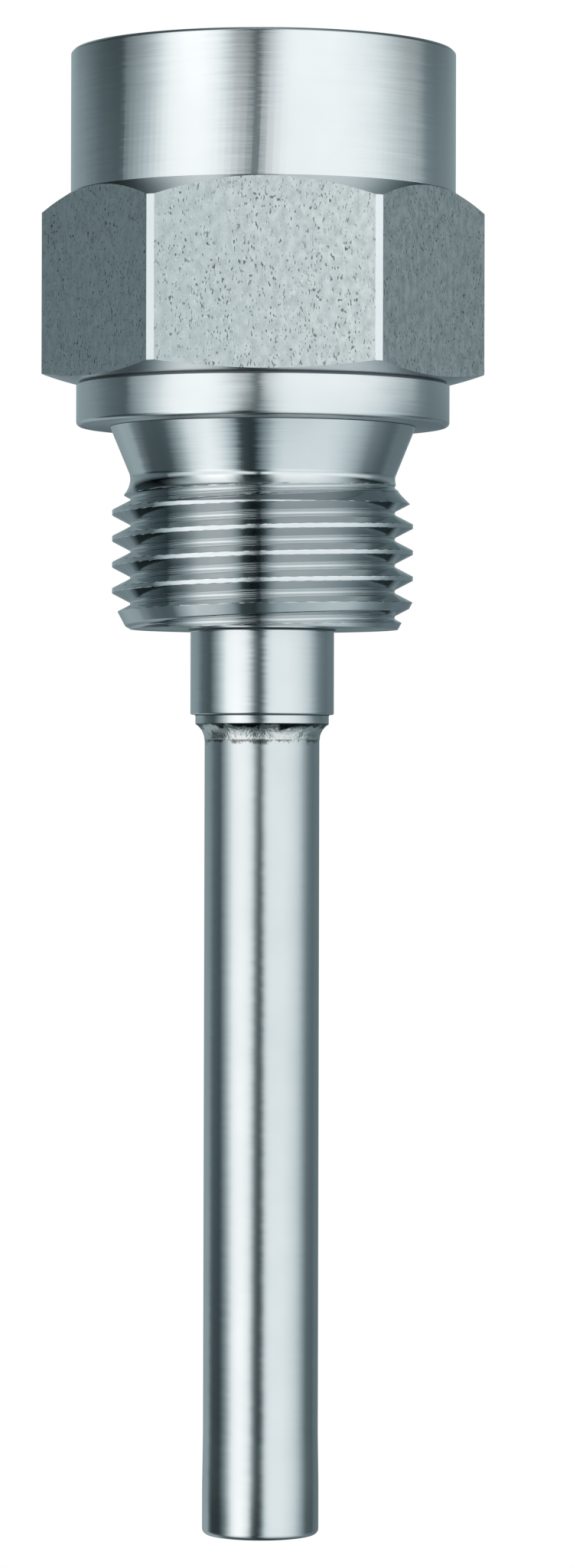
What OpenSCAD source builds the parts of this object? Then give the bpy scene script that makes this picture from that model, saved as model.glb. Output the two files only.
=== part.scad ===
// Screw-in thermowell: a hexagon head turned from bar, with a parallel pipe thread below it,
// a boss, and a closed tube welded into the boss. A probe goes in from the head's socket.
// Millimetres. +Z is the axis, head up. The origin is the centre of the sealing face.

/* [Collar] */
// Diameter of the turned collar above the hexagon
collar_d = 26.8; // [25.5:0.1:28]
// Height of the collar above the hexagon's upper chamfer
collar_h = 10.1; // [6:0.1:20]
// Chamfer on the collar's outer rim
collar_rim = 0.2; // [0.1:0.05:1]

/* [Hexagon] */
// Width across the flats
hex_af = 27; // [26.5:0.1:36]
// Width of the small flat left on each corner
hex_corner_flat = 0.6; // [0.2:0.1:2]
// Height of the hexagon, from the sealing ring to the collar
hex_h = 13.4; // [8:0.1:24]
// Slope of the upper corner chamfer, from the horizontal
hex_upper_slope = 30; // [10:1:45]
// Slope of the lower corner chamfer, from the horizontal
hex_lower_slope = 20; // [10:1:40]

/* [Sealing ring] */
// Diameter of the sealing ring under the hexagon
ring_d = 26; // [24:0.1:26.4]
// Height of the sealing ring
ring_h = 2.6; // [1.5:0.1:5]
// Radius of the ring's lower outer edge
ring_edge_r = 0.35; // [0.1:0.05:1]

/* [Undercut] */
// Diameter of the undercut's cone at the sealing face
undercut_wide_d = 21.3; // [21:0.1:23]
// Diameter of the undercut's neck, next to the thread
undercut_neck_d = 18.4; // [16:0.1:18.5]
// Height of the undercut, from the sealing face to the neck
undercut_h = 3.6; // [2:0.05:6]
// Radius of the fillet between the neck and the thread's upper chamfer
neck_fillet_r = 1.7; // [0.6:0.1:2]

/* [Process thread] */
// Outside diameter of the parallel pipe thread
thread_d = 20.955; // [20.6:0.005:21.2]
// Number of threads in 25.4 mm
thread_tpi = 14; // [11:1:19]
// Distance from the sealing face to the end of the thread
thread_reach = 14.1; // [9:0.1:25]
// Slope of the chamfer at the undercut end, from the axis
run_out_slope = 45; // [20:1:60]
// Diameter at the free end of the thread
lead_in_d = 18.9; // [18.8:0.05:19.6]
// Slope of the chamfer at the free end, from the axis
lead_in_slope = 28; // [15:1:45]
// Angle round the axis at which the thread starts at the undercut
thread_start = 305; // [0:5:355]

/* [Boss] */
// Diameter of the boss below the thread
boss_d = 10; // [9.5:0.1:14]
// Length of the boss
boss_h = 5.95; // [3:0.05:15]
// Diameter of the lip that the tube is welded to
lip_d = 9.3; // [9:0.1:9.4]
// Length of the lip
lip_h = 0.65; // [0.3:0.05:2]

/* [Stem tube] */
// Outside diameter of the tube
tube_d = 8; // [7:0.1:8.4]
// Wall of the tube
tube_wall = 0.75; // [0.5:0.05:1.2]
// Distance from the sealing face to the tip
immersion = 77.1; // [40:0.1:400]
// Length of the tube's seat, up into the body
seat_depth = 14; // [5:0.5:15]
// Radial clearance between the tube and its seat
seat_clearance = 0.02; // [0.01:0.01:0.1]
// Diameter of the slightly swollen closed end
tip_d = 8.1; // [8.05:0.05:8.6]
// Length over which the closed end swells
tip_swell_h = 7; // [3:0.5:12]
// Radius of the tip's lower edge
tip_edge_r = 0.4; // [0.1:0.05:0.6]

/* [Weld] */
// Height of the weld, from the lip down the tube
weld_h = 1.2; // [0.6:0.1:2.5]

/* [Tip plug] */
// Diameter of the disc that closes the tube, in a recess wider than the bore
plug_d = 7; // [6.9:0.05:7.2]
// Thickness of the disc
plug_h = 3; // [1.5:0.1:6]
// Radial clearance between the disc and its recess
plug_clearance = 0.02; // [0.01:0.01:0.05]

/* [Sensor socket] */
// Wall diameter of the socket's internal pipe thread
socket_d = 18.631; // [18.2:0.001:18.8]
// Depth of the threaded wall, below its entry chamfer
socket_h = 14; // [8:0.5:16]
// Diameter at the mouth of the entry chamfer
socket_mouth_d = 21.4; // [21:0.1:22]
// Angle of the drill point that closes the socket
socket_floor_angle = 118; // [90:1:150]

/* [Hidden] */
$fn = 96;
eps = 0.01;
overrun = 1;

// Heights along the axis, from the sealing face
hex_top = ring_h + hex_h;
head_top = hex_top + collar_h;
thread_top = -undercut_h;
thread_end = -thread_reach;
boss_end = thread_end - boss_h;
lip_end = boss_end - lip_h;
weld_end = lip_end - weld_h;
tip = -immersion;

// The hexagon
hex_corner_r = hex_af / 2 / cos(30);

// The fillet from the undercut's neck to the thread's upper chamfer
neck_r = undercut_neck_d / 2;
fillet_x = neck_r + neck_fillet_r;
chamfer_top = thread_top - neck_fillet_r * sin(run_out_slope);
chamfer_r = fillet_x - neck_fillet_r * cos(run_out_slope);

// The socket and the probe's bore
bore_r = tube_d / 2 - tube_wall;
mouth_h = (socket_mouth_d - socket_d) / 2;
socket_top = head_top - mouth_h;
socket_floor = socket_top - socket_h;
funnel_h = (socket_d / 2 - bore_r) / tan(socket_floor_angle / 2);
seat_top = lip_end + seat_depth;
recess_r = plug_d / 2 + plug_clearance;
recess_top = tip + plug_h;

// The thread: a 55 degree form with rounded crests and roots
pitch = 25.4 / thread_tpi;
flank = 27.5;
round_r = 0.137329 * pitch;
thread_depth = 0.640327 * pitch;
root_r = thread_d / 2 - thread_depth;

// The thread is a shell of facets round a true core. Its upper end dives into the neck's straight part
core_r = min(neck_r, root_r) - 0.1;
shell_wall = 0.5;
shell_r = core_r - shell_wall;
dive_h = 0.2;
dive_slope = 0.4;
neck_h = 0.5;
neck_end = thread_top - neck_h;
columns = 48;

steel = "lightsteelblue";
dull = "slategray";

// ---------- the process thread ----------

// Half the width of a rounded crest or root, as a share of the pitch
round_w = round_r * cos(flank) / pitch;
// Where each row of points lies in one pitch, measured from a root
steps = [0, round_w, 0.25, 0.5 - round_w, 0.5, 0.5 + round_w, 0.75, 1 - round_w];
per_pitch = len(steps);
turns = ceil((thread_top - thread_end) / pitch) + 3;
rows = turns * per_pitch;

// Height of the first root at an angle round the axis, a whole pitch or more below the thread
function first_root(a) = thread_top - (turns - 1 + thread_start / 360 - a / 360 - 0.5) * pitch;

// Height of a rounded crest's or root's arc, at a distance from its middle
function arc_drop(d) = round_r - sqrt(pow(round_r, 2) - pow(d, 2));

// Radius of the bare thread form, at a distance from the nearest crest
function form_r(d) =
    d <= round_w * pitch ? thread_d / 2 - arc_drop(d)
    : d >= (0.5 - round_w) * pitch ? root_r + arc_drop(pitch / 2 - d)
    : root_r + thread_depth / 2 + (pitch / 4 - d) / tan(flank);

// Distance from a height to the nearest crest, at an angle round the axis
function crest_distance(a, z) =
    let (share = (z - first_root(a)) / pitch)
    abs(share - floor(share) - 0.5) * pitch;

// Radius that the upper chamfer and its fillet leave
function run_out_r(z) =
    z < chamfer_top ? chamfer_r + (chamfer_top - z) * tan(run_out_slope)
    : fillet_x - sqrt(pow(neck_fillet_r, 2) - pow(thread_top - z, 2))
        - max(0, z - thread_top + dive_h) * dive_slope;

// Radius of the finished thread, which is cut down at its two ends
function thread_r(a, z) = min(
    form_r(crest_distance(a, z)),
    run_out_r(z),
    lead_in_d / 2 + (z - thread_end) * tan(lead_in_slope));

function row_z(a, row) =
    first_root(a) + (floor(row / per_pitch) + steps[row % per_pitch]) * pitch;
function cut_z(z) = max(thread_end, min(thread_top, z));
function on_axis(r, a, z) = [r * cos(a), r * sin(a), z];

// The first and last rows that a column of points needs
function low_row(a) = max([for (j = [0:rows - 1]) if (row_z(a, j) <= thread_end) j]);
function high_row(a) = min([for (j = [0:rows - 1]) if (row_z(a, j) >= thread_top) j]);

module thread_shell() {
    angles = [for (i = [0:columns - 1]) i * 360 / columns];
    low = [for (a = angles) low_row(a)];
    high = [for (a = angles) high_row(a)];
    outer = [for (a = angles) for (j = [0:rows - 1])
        let (z = cut_z(row_z(a, j))) on_axis(thread_r(a, z), a, z)];
    inner = [for (z = [thread_end, thread_top]) for (a = angles) on_axis(shell_r, a, z)];
    // Index of an outer point: past the last column, the same helix is one pitch of rows further on
    function at(i, j) =
        let (c = i % columns, row = i == columns ? j + per_pitch : j)
        c * rows + max(low[c], min(high[c], row));
    function in_low(i) = len(outer) + i % columns;
    function in_high(i) = len(outer) + columns + i % columns;
    skin = [for (i = [0:columns - 1]) for (j = [0:rows - 2])
        let (a = at(i, j), b = at(i + 1, j), c = at(i + 1, j + 1), d = at(i, j + 1))
        each [if (b != c) [a, c, b], if (a != d) [a, d, c]]];
    ends = [for (i = [0:columns - 1])
        let (lo = at(i, 0), lo2 = at(i + 1, 0), hi = at(i, rows - 1), hi2 = at(i + 1, rows - 1))
        each [[lo, lo2, in_low(i + 1)], [lo, in_low(i + 1), in_low(i)],
              [hi, in_high(i + 1), hi2], [hi, in_high(i), in_high(i + 1)]]];
    wall = [for (i = [0:columns - 1])
        each [[in_low(i), in_low(i + 1), in_high(i + 1)], [in_low(i), in_high(i + 1), in_high(i)]]];
    polyhedron(points = concat(outer, inner), faces = concat(skin, ends, wall));
}

// ---------- the screw-in body ----------

// Outline of everything turned, apart from the thread and the hexagon
module turned_outline() {
    difference() {
        polygon([
            [0, head_top], [collar_d / 2 - collar_rim, head_top], [collar_d / 2, head_top - collar_rim],
            [collar_d / 2, ring_h + hex_h / 2], [ring_d / 2, ring_h + hex_h / 2],
            [ring_d / 2, 0], [undercut_wide_d / 2, 0], [neck_r, thread_top], [neck_r, neck_end],
            [core_r, neck_end], [core_r, thread_end], [boss_d / 2, thread_end],
            [boss_d / 2, boss_end], [lip_d / 2, boss_end], [lip_d / 2, lip_end], [0, lip_end]]);
        ring_edge_cut();
    }
}

// What the ring's rounded lower edge takes off
module ring_edge_cut() {
    translate([ring_d / 2 - ring_edge_r, 0]) difference() {
        translate([0, -eps]) square([ring_edge_r + eps, ring_edge_r + eps]);
        translate([0, ring_edge_r]) circle(ring_edge_r);
    }
}

// A hexagon with a small flat on each corner, a face towards the front
module hex_prism() {
    half = hex_corner_flat / 2;
    out = hex_corner_r - half * tan(30);
    linear_extrude(height = hex_top - ring_h) polygon([for (k = [0:5]) for (s = [-1, 1])
        [out * cos(60 * k) - s * half * sin(60 * k), out * sin(60 * k) + s * half * cos(60 * k)]]);
}

// The turned corner chamfers, above and below the hexagon
module hex_chamfers() {
    far = hex_corner_r + overrun;
    rotate_extrude() polygon([
        [0, ring_h], [ring_d / 2, ring_h],
        [far, ring_h + (far - ring_d / 2) * tan(hex_lower_slope)],
        [far, hex_top - (far - collar_d / 2) * tan(hex_upper_slope)],
        [collar_d / 2, hex_top], [0, hex_top]]);
}

module hexagon() {
    intersection() {
        translate([0, 0, ring_h]) hex_prism();
        hex_chamfers();
    }
}

// The socket, its funnel, the probe's way through and the tube's seat
module body_bores() {
    rotate_extrude() polygon([
        [0, head_top + overrun], [socket_mouth_d / 2 + overrun, head_top + overrun],
        [socket_d / 2, socket_top],
        [socket_d / 2, socket_floor], [bore_r, socket_floor - funnel_h],
        [bore_r, seat_top], [tube_d / 2 + seat_clearance, seat_top],
        [tube_d / 2 + seat_clearance, lip_end - overrun], [0, lip_end - overrun]]);
}

module screw_in_body() {
    color(steel) difference() {
        union() {
            rotate_extrude() turned_outline();
            hexagon();
            thread_shell();
        }
        body_bores();
    }
}

// ---------- the stem ----------

module stem_tube() {
    color(steel) rotate_extrude() difference() {
        polygon([
            [bore_r, seat_top], [tube_d / 2, seat_top], [tube_d / 2, tip + tip_swell_h],
            [tip_d / 2, tip + tip_swell_h / 2], [tip_d / 2, tip], [recess_r, tip],
            [recess_r, recess_top], [bore_r, recess_top]]);
        tip_edge_cut();
    }
}

// What the tip's rounded edge takes off
module tip_edge_cut() {
    translate([tip_d / 2 - tip_edge_r, tip]) difference() {
        translate([0, -eps]) square([tip_edge_r + eps, tip_edge_r + eps]);
        translate([0, tip_edge_r]) circle(tip_edge_r);
    }
}

// A concave fillet of weld metal, from the lip's edge down to the tube
module stem_weld() {
    reach = (lip_d - tube_d) / 2;
    color(dull) rotate_extrude() translate([tube_d / 2, lip_end]) difference() {
        translate([0, -weld_h]) square([reach, weld_h]);
        translate([weld_arc_r(reach), -weld_h]) circle(weld_arc_r(reach));
    }
}

// Radius of the arc that touches the tube at the weld's foot and meets the lip's edge
function weld_arc_r(reach) = (pow(reach, 2) + pow(weld_h, 2)) / (2 * reach);

module tip_plug() {
    color(dull) translate([0, 0, tip]) cylinder(d = plug_d, h = plug_h);
}

screw_in_body();
stem_tube();
stem_weld();
tip_plug();
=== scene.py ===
"""A screw-in thermowell: its turned body, tube, weld and end disc, dressed for a studio.

The pieces' sizes are in millimetres and their heights count from the sealing face. The studio's are
in metres.
"""

import logging
import math
from collections.abc import Callable, Sequence
from dataclasses import dataclass, replace
from enum import Enum
from typing import Any

import bmesh
import bpy
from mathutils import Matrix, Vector, noise


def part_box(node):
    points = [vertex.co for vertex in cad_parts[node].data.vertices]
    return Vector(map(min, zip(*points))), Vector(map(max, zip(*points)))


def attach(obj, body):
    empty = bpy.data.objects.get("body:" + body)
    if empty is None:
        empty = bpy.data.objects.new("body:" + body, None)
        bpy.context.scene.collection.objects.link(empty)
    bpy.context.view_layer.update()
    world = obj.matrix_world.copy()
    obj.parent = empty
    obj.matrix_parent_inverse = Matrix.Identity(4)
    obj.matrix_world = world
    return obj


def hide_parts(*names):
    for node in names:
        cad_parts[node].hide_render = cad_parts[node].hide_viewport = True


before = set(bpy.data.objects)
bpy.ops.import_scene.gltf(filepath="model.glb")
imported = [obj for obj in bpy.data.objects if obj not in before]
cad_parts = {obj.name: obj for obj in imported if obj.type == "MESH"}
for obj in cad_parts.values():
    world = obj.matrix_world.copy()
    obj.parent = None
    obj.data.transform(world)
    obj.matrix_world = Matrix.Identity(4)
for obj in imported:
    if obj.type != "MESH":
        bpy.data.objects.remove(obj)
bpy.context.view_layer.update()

log = logging.getLogger("thermowell")

Piece, Material = bpy.types.Object, bpy.types.Material
Tree, Socket = bpy.types.NodeTree, bpy.types.NodeSocket

MM = 0.001
COLUMNS = 180
"""Columns of faces round the axis of each turned piece."""
SMOOTH_ANGLE = math.radians(28)
"""Edges sharper than this stay sharp in the shading."""
ARC_STEP = 11
"""Degrees that one step of a rounded corner takes up."""
MERGE_GAP = 0.0005
"""Points nearer than this are one point, in millimetres."""
NEAR, SKIN = 0.02, 0.005
"""How near to a surface counts as on it, and how far off counts as clear of it, in millimetres."""
NOISE_LOW, NOISE_HIGH = 0.3, 0.7
"""Most of a noise lies between these values."""
TONE_A, TONE_B, TONE_OUT = 6, 7, 2
"""The colour sockets of a mix node: its two inputs and its output."""


# ---------- small tools ----------


def node_span(node: str) -> tuple[float, float]:
    """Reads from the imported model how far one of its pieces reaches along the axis.

    Args:
        node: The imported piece's name.

    Returns:
        Its lowest and its highest height in millimetres, to the micron.
    """
    low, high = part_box(node)
    return round(low.z / MM, 3), round(high.z / MM, 3)


LIP_END, HEAD_TOP = node_span("screw_in_body")
TIP, TUBE_TOP = node_span("stem_tube")
WELD_FOOT, WELD_TOP = node_span("stem_weld")
DISC_FOOT, DISC_TOP = node_span("tip_plug")
TUBE_D, BORE_D, LIP_D, DISC_D = 8.0, 6.5, 9.3, 7.0
"""Diameters that two pieces share, in millimetres."""
FIT = 0.02
"""Radial clearance of the tube in its seat and of the disc in its recess, in millimetres."""


def srgb(code: str) -> tuple[float, float, float, float]:
    """Turns an sRGB hex colour into the linear colour that shaders take.

    Args:
        code: The colour, such as "#C8CCCE".

    Returns:
        Red, green, blue and alpha, linear.
    """
    parts = [int(code[i:i + 2], 16) / 255 for i in (1, 3, 5)]
    low = [c / 12.92 if c <= 0.04045 else ((c + 0.055) / 1.055) ** 2.4 for c in parts]
    return (*low, 1.0)


def add_node(tree: Tree, kind: str, settings: dict[str, Any] | None = None,
             links: dict[str | int, Any] | None = None) -> bpy.types.Node:
    """Adds one node with its settings and its inputs.

    Args:
        tree: The node tree.
        kind: The node's type name.
        settings: Properties of the node itself.
        links: For each input, the socket that feeds it or its plain value.

    Returns:
        The new node.
    """
    node = tree.nodes.new(kind)
    for key, value in (settings or {}).items():
        setattr(node, key, value)
    for key, source in (links or {}).items():
        if isinstance(source, Socket):
            tree.links.new(source, node.inputs[key])
        else:
            node.inputs[key].default_value = source
    return node


def new_material(name: str) -> tuple[Material, Tree]:
    """Makes an empty node material.

    Args:
        name: The finish's name.

    Returns:
        The material and its node tree, with no nodes in it.
    """
    material = bpy.data.materials.new(name)
    material.use_nodes = True
    material.node_tree.nodes.clear()
    return material, material.node_tree


def deselect() -> None:
    """Deselects every object, so that an operator acts on new work alone."""
    if bpy.context.mode != "OBJECT":
        bpy.ops.object.mode_set(mode="OBJECT")
    bpy.ops.object.select_all(action="DESELECT")


def pick(piece: Piece) -> None:
    """Makes a piece the one selected and active object.

    Args:
        piece: The object.
    """
    deselect()
    piece.select_set(True)
    bpy.context.view_layer.objects.active = piece


def settle(piece: Piece) -> None:
    """Applies the piece's place, turn and scale to its mesh."""
    pick(piece)
    bpy.ops.object.transform_apply(location=True, rotation=True, scale=True)


class Element(Enum):
    """What is selected in edit mode; the value is Blender's word for it."""

    EDGE = "EDGE"
    FACE = "FACE"


def select_in_edit(piece: Piece, kind: Element, test: Callable[[Any], bool]) -> None:
    """Selects the edges or faces that pass a test, in edit mode.

    Args:
        piece: The object, which is in edit mode.
        kind: Whether edges or faces are selected.
        test: Says of one of them whether it is selected.
    """
    bpy.ops.mesh.select_mode(type=kind.value)
    bpy.ops.mesh.select_all(action="DESELECT")
    mesh = bmesh.from_edit_mesh(piece.data)
    for element in mesh.edges if kind is Element.EDGE else mesh.faces:
        if test(element):
            element.select_set(True)
    mesh.select_flush_mode()
    bmesh.update_edit_mesh(piece.data)


# ---------- turned outlines ----------


@dataclass(frozen=True)
class Corner:
    """One corner of a turned outline, in millimetres.

    cuts is the number of rows that the stretch after the corner gets besides its own two ends, and
    arc_steps the number of steps in the corner's own arc, where it isn't one for each ARC_STEP.
    """

    radius: float
    height: float
    rounding: float = 0.0
    cuts: int = 0
    arc_steps: int = 0


def arc_at(before: Vector, here: Vector, after: Vector, corner: Corner) -> list[Vector]:
    """Works out the points of the arc that rounds a corner.

    Args:
        before: The place of the corner before it.
        here: The corner's own place.
        after: The place of the corner after it.
        corner: The corner, with its rounding.

    Returns:
        The arc's points, from one tangent to the other.
    """
    to_before, to_after = (before - here).normalized(), (after - here).normalized()
    half = to_before.angle(to_after) / 2
    centre = here + (to_before + to_after).normalized() * corner.rounding / math.sin(half)
    reach = corner.rounding / math.tan(half)
    first, last = here + to_before * reach - centre, here + to_after * reach - centre
    steps = corner.arc_steps or max(2, round(math.degrees(math.pi - 2 * half) / ARC_STEP))
    total = first.angle(last)
    return [centre + (first * math.sin(total * (1 - s)) + last * math.sin(total * s))
            / math.sin(total) for s in (k / steps for k in range(steps + 1))]


def outline_points(corners: Sequence[Corner]) -> list[tuple[Vector, int]]:
    """Lays out a closed outline with its rounded corners.

    Args:
        corners: The outline's corners in order.

    Returns:
        Each point as (radius, height), with the number of cuts in the stretch after it.
    """
    places = [Vector((c.radius, c.height)) for c in corners]
    points: list[tuple[Vector, int]] = []
    for k, corner in enumerate(corners):
        if corner.rounding > 0:
            arc = arc_at(places[k - 1], places[k], places[(k + 1) % len(places)], corner)
            points += [(p, 0) for p in arc[:-1]] + [(arc[-1], corner.cuts)]
        else:
            points.append((places[k], corner.cuts))
    return points


def turn(name: str, corners: Sequence[Corner]) -> Piece:
    """Draws half an outline by extruding a point, and spins it round the axis.

    Args:
        name: The piece's name.
        corners: The closed outline's corners, in millimetres.

    Returns:
        The closed turned piece, with its normals outward.
    """
    points = outline_points(corners)
    start = points[0][0]
    deselect()
    bpy.ops.mesh.primitive_plane_add(size=MM, location=(start.x * MM, 0, start.y * MM))
    piece = bpy.context.active_object
    piece.name = piece.data.name = name
    settle(piece)
    bpy.ops.object.mode_set(mode="EDIT")
    bpy.ops.mesh.select_mode(type="VERT")
    bpy.ops.mesh.select_all(action="SELECT")
    bpy.ops.mesh.merge(type="CENTER")
    for (here, cuts), (after, _) in zip(points, points[1:] + points[:1]):
        step = (after - here) / (cuts + 1) * MM
        for _ in range(cuts + 1):
            bpy.ops.mesh.extrude_vertices_move(
                TRANSFORM_OT_translate={"value": (step.x, 0, step.y)})
    bpy.ops.mesh.select_all(action="SELECT")
    bpy.ops.mesh.remove_doubles(threshold=MERGE_GAP * MM)
    bpy.ops.mesh.spin(steps=COLUMNS, angle=math.tau, center=(0, 0, 0), axis=(0, 0, 1))
    bpy.ops.mesh.select_all(action="SELECT")
    bpy.ops.mesh.remove_doubles(threshold=MERGE_GAP * MM)
    bpy.ops.mesh.normals_make_consistent(inside=False)
    bpy.ops.object.mode_set(mode="OBJECT")
    return piece


class Joining(Enum):
    """How two closed pieces become one; the value is Blender's word for it."""

    UNION = "UNION"
    INTERSECT = "INTERSECT"


def combine(piece: Piece, tool: Piece, joining: Joining) -> None:
    """Applies a Boolean modifier and removes the tool.

    Args:
        piece: The object that is kept.
        tool: The object that cuts it or is added to it.
        joining: How the two become one.
    """
    pick(piece)
    modifier = piece.modifiers.new("combine", "BOOLEAN")
    modifier.operation, modifier.object, modifier.solver = joining.value, tool, "EXACT"
    bpy.ops.object.modifier_apply(modifier=modifier.name)
    bpy.data.objects.remove(tool)


def give_finish(piece: Piece, material: Material) -> None:
    """Gives a piece one finish all over, and smooth shading.

    Args:
        piece: The object.
        material: The finish's material.
    """
    piece.data.materials.clear()
    piece.data.materials.append(material)
    smooth(piece)


def smooth(piece: Piece) -> None:
    """Smooths the shading of all but the sharp edges.

    Args:
        piece: The object.
    """
    pick(piece)
    bpy.ops.object.shade_smooth_by_angle(angle=SMOOTH_ANGLE)
    deselect()


def open_edges(piece: Piece) -> int:
    """Counts the edges that don't lie between exactly two faces.

    Args:
        piece: The object.

    Returns:
        How many there are, which is none on a closed piece.
    """
    mesh = bmesh.new()
    mesh.from_mesh(piece.data)
    count = sum(1 for edge in mesh.edges if len(edge.link_faces) != 2)
    mesh.free()
    return count


# ---------- finishes ----------


@dataclass(frozen=True)
class Pattern:
    """A noise whose patches have a real size in millimetres, across the piece and along its axis.

    The noise runs from 0 to 1. Only what lies between start and end changes the pattern's value.
    """

    width_mm: float
    length_mm: float
    detail: float = 2.0
    roughness: float = 0.5
    start: float = 0.0
    end: float = 1.0

    def value(self, tree: Tree, place: Socket, low: float = 0.0, high: float = 1.0) -> Socket:
        """Adds the pattern to a material.

        Args:
            tree: The material's node tree.
            place: The point on the piece.
            low: The value where the noise is at start.
            high: The value where it is at end.

        Returns:
            The pattern's value at the point.
        """
        across, along = 1 / (self.width_mm * MM), 1 / (self.length_mm * MM)
        sized = add_node(tree, "ShaderNodeVectorMath", {"operation": "MULTIPLY"},
                         {0: place, 1: (across, across, along)}).outputs[0]
        patches = add_node(tree, "ShaderNodeTexNoise", {},
                           {"Vector": sized, "Scale": 1.0, "Detail": self.detail,
                            "Roughness": self.roughness}).outputs[0]
        return add_node(tree, "ShaderNodeMapRange", {},
                        {"Value": patches, "From Min": self.start, "From Max": self.end,
                         "To Min": low, "To Max": high}).outputs[0]


@dataclass(frozen=True)
class StainAndShade:
    """A dark patch that covers a piece from above, down to a ragged edge. It serves for the tube's
    heat tint with painted shade, and for painted shade under the lip.

    The edge wanders between the heights top and foot. The patch sets in at fade_low below the edge,
    and fade_high above it the patch hides the metal by its cover.
    """

    colour: str
    top: float
    foot: float
    edge: Pattern
    fade_low: float
    fade_high: float = 0.1
    cover: float = 1.0

    def over(self, tree: Tree, place: Socket, metal: Socket) -> Socket:
        """Lays the dark patch over a metal's colour.

        Args:
            tree: The material's node tree.
            place: The point on the piece.
            metal: The metal's colour.

        Returns:
            The darkened colour.
        """
        edge = self.edge.value(tree, place, self.top * MM, self.foot * MM)
        height = add_node(tree, "ShaderNodeSeparateXYZ", {}, {0: place}).outputs["Z"]
        above = add_node(tree, "ShaderNodeMath", {"operation": "SUBTRACT"},
                         {0: height, 1: edge}).outputs[0]
        share = add_node(tree, "ShaderNodeMapRange", {},
                         {"Value": above, "From Min": -self.fade_low * MM,
                          "From Max": self.fade_high * MM, "To Max": self.cover}).outputs[0]
        return add_node(tree, "ShaderNodeMix", {"data_type": "RGBA"},
                        {"Factor": share, TONE_A: metal,
                         TONE_B: srgb(self.colour)}).outputs[TONE_OUT]


@dataclass(frozen=True)
class TurnedSteel:
    """Stainless steel as the lathe leaves it.

    The tool leaves fine rings round the axis. Across them the surface scatters light widely, and
    along them hardly at all, so a lamp shows as a long clean stripe down the piece, whose edges
    fray a little from ring to ring.
    """

    name: str = "turned_stainless_steel"
    colour: str = "#DEE0E1"
    shade: str = "#D2D6D8"
    blotches: Pattern = Pattern(4.0, 4.0)
    roughness: float = 0.19
    roughness_spread: float = 0.07
    anisotropic: float = 0.8
    # Real turning marks are about 0.1 mm apart, which is too fine to show, so they are drawn wider
    ring_mm: float = 0.22
    ring_length_mm: float = 7.0
    ring_depth_mm: float = 0.02
    ring_bump: float = 0.12
    # How far a ring leans to its side, and how far it climbs for each millimetre outwards
    lean: float = 0.062
    climb: float = 0.8

    def material(self) -> Material:
        """Builds the material.

        Returns:
            The material.
        """
        material, tree = new_material(self.name)
        place = add_node(tree, "ShaderNodeTexCoord").outputs["Object"]
        normal = add_node(tree, "ShaderNodeNewGeometry").outputs["Normal"]
        across = add_node(tree, "ShaderNodeVectorMath", {"operation": "CROSS_PRODUCT"},
                          {0: (0, 0, 1), 1: place}).outputs[0]
        around = add_node(tree, "ShaderNodeVectorMath", {"operation": "NORMALIZE"},
                          {0: across}).outputs[0]
        along = add_node(tree, "ShaderNodeVectorMath", {"operation": "CROSS_PRODUCT"},
                         {0: around, 1: normal}).outputs[0]
        rings = Pattern(self.ring_length_mm, self.ring_mm, detail=3.0, roughness=0.65).value(
            tree, self.wound(tree, place))
        offset = add_node(tree, "ShaderNodeMath", {"operation": "MULTIPLY_ADD"},
                          {0: rings, 1: self.lean, 2: -self.lean / 2}).outputs[0]
        sideways = add_node(tree, "ShaderNodeVectorMath", {"operation": "SCALE"},
                            {0: around, "Scale": offset}).outputs[0]
        leaning = add_node(tree, "ShaderNodeVectorMath", {"operation": "ADD"},
                           {0: normal, 1: sideways}).outputs[0]
        bump = add_node(tree, "ShaderNodeBump", {},
                        {"Strength": self.ring_bump, "Distance": self.ring_depth_mm * MM,
                         "Height": rings, "Normal": leaning}).outputs[0]
        rough = add_node(tree, "ShaderNodeMapRange", {},
                         {"Value": rings, "From Min": NOISE_LOW, "From Max": NOISE_HIGH,
                          "To Min": self.roughness * (1 - self.roughness_spread),
                          "To Max": self.roughness * (1 + self.roughness_spread)}).outputs[0]
        steel = add_node(tree, "ShaderNodeBsdfPrincipled", {},
                         {"Base Color": self.metal_colour(tree, place), "Metallic": 1.0,
                          "Roughness": rough, "Anisotropic": self.anisotropic,
                          "Tangent": along, "Normal": bump})
        add_node(tree, "ShaderNodeOutputMaterial", {}, {"Surface": steel.outputs[0]})
        return material

    def metal_colour(self, tree: Tree, place: Socket) -> Socket:
        """Blends the metal's two tones in soft blotches.

        Args:
            tree: The material's node tree.
            place: The point on the piece.

        Returns:
            The colour.
        """
        return add_node(tree, "ShaderNodeMix", {"data_type": "RGBA"},
                        {"Factor": self.blotches.value(tree, place), TONE_A: srgb(self.colour),
                         TONE_B: srgb(self.shade)}).outputs[TONE_OUT]

    def wound(self, tree: Tree, place: Socket) -> Socket:
        """Lifts each point by its distance from the axis, so that rings cross flat ends too.

        Args:
            tree: The material's node tree.
            place: The point on the piece.

        Returns:
            The lifted point.
        """
        flat = add_node(tree, "ShaderNodeVectorMath", {"operation": "MULTIPLY"},
                        {0: place, 1: (1, 1, 0)}).outputs[0]
        reach = add_node(tree, "ShaderNodeVectorMath", {"operation": "LENGTH"},
                         {0: flat}).outputs["Value"]
        apart = add_node(tree, "ShaderNodeSeparateXYZ", {}, {0: place}).outputs
        height = add_node(tree, "ShaderNodeMath", {"operation": "MULTIPLY_ADD"},
                          {0: reach, 1: self.climb, 2: apart["Z"]}).outputs[0]
        return add_node(tree, "ShaderNodeCombineXYZ", {},
                        {"X": apart["X"], "Y": apart["Y"], "Z": height}).outputs[0]


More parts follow.
